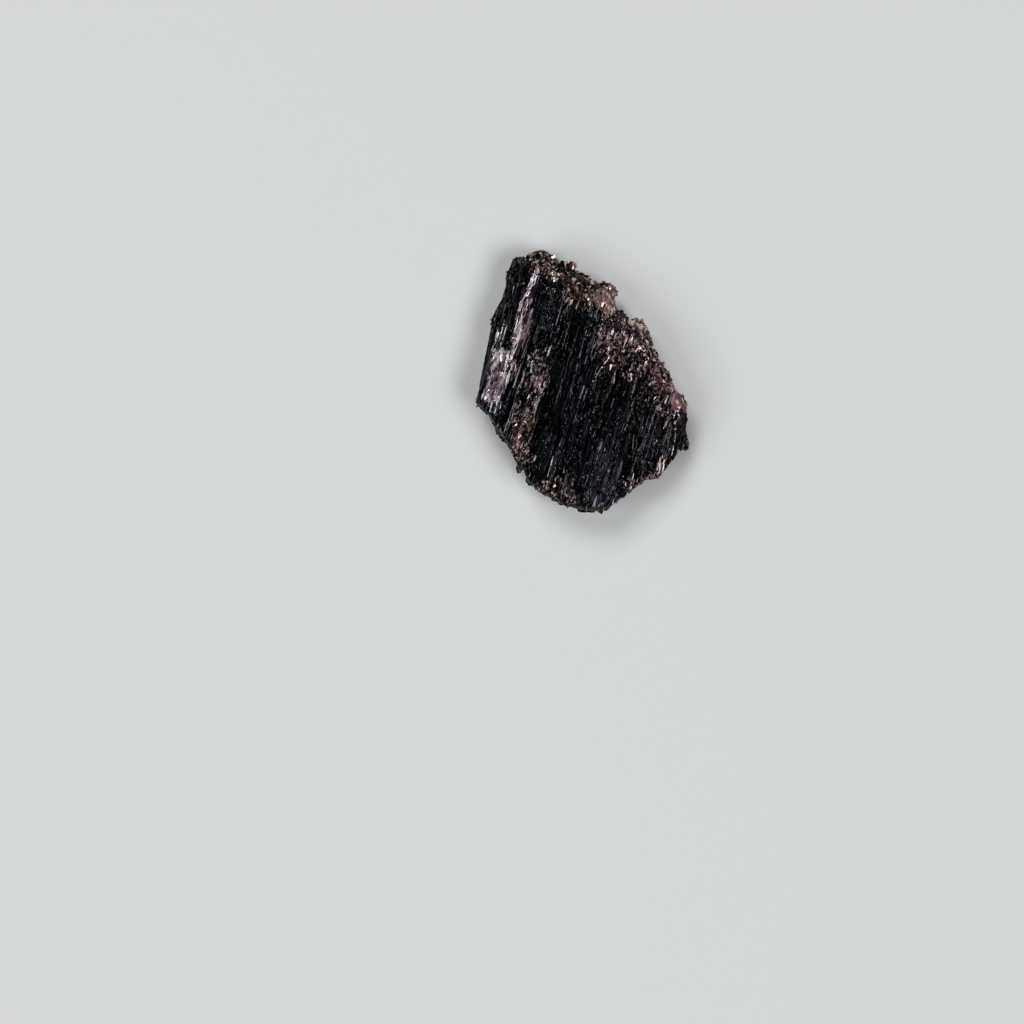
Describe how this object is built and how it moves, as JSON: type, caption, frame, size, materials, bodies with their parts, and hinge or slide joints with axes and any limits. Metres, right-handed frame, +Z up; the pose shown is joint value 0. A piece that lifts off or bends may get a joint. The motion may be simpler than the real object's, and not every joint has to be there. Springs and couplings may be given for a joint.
{
  "type": "black tourmaline specimen",
  "caption": "Raw black tourmaline block of parallel striated crystals with mica grown into one flank; it lies on a flat underside.",
  "frame": {"origin": "centre of the footprint box, on the surface that the stone rests on", "axes": "+Z up, out of the striated upper face; +Y to the far end of the stone's longer side; +X to the right"},
  "size_m": [0.041, 0.0498, 0.0166],
  "materials": {
    "tourmaline": "glossy black striated crystal with pink-brown and silvery mica"
  },
  "bodies": {
    "root": {"tourmaline": "tourmaline"}
  },
  "joints": []
}
